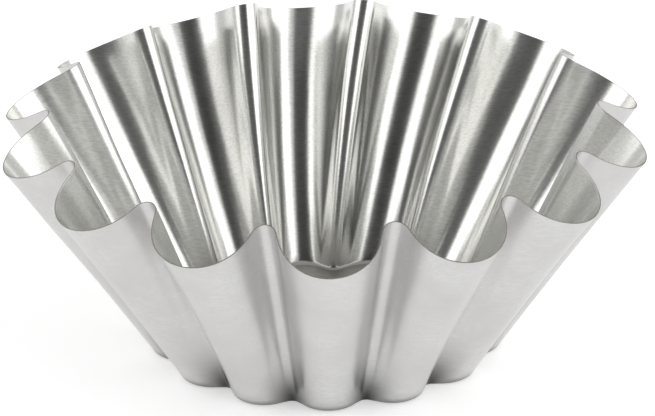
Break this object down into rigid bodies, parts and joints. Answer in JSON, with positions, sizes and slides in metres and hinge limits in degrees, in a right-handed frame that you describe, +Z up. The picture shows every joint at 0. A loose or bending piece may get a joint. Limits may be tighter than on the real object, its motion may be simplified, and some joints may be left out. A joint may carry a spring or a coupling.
{
  "type": "brioche mould",
  "caption": "Flared baking mould with a round-crested fluted wall, a small flat floor and a plain wavy rim, drawn in one piece from bright tinplate, for baking brioche.",
  "frame": {"origin": "on the surface that the mould stands on, below the middle of its rim", "axes": "+Z up out of the mouth; -Y is the front, where one flute's crest faces and the wall is even; +Y is the back, where the drawn sheet is a little askew; a valley between two flutes faces +X and -X"},
  "size_m": [0.1958, 0.1989, 0.0767],
  "materials": {
    "tinplate": "satin"
  },
  "bodies": {
    "root": {"fluted_shell": "tinplate"}
  },
  "joints": []
}
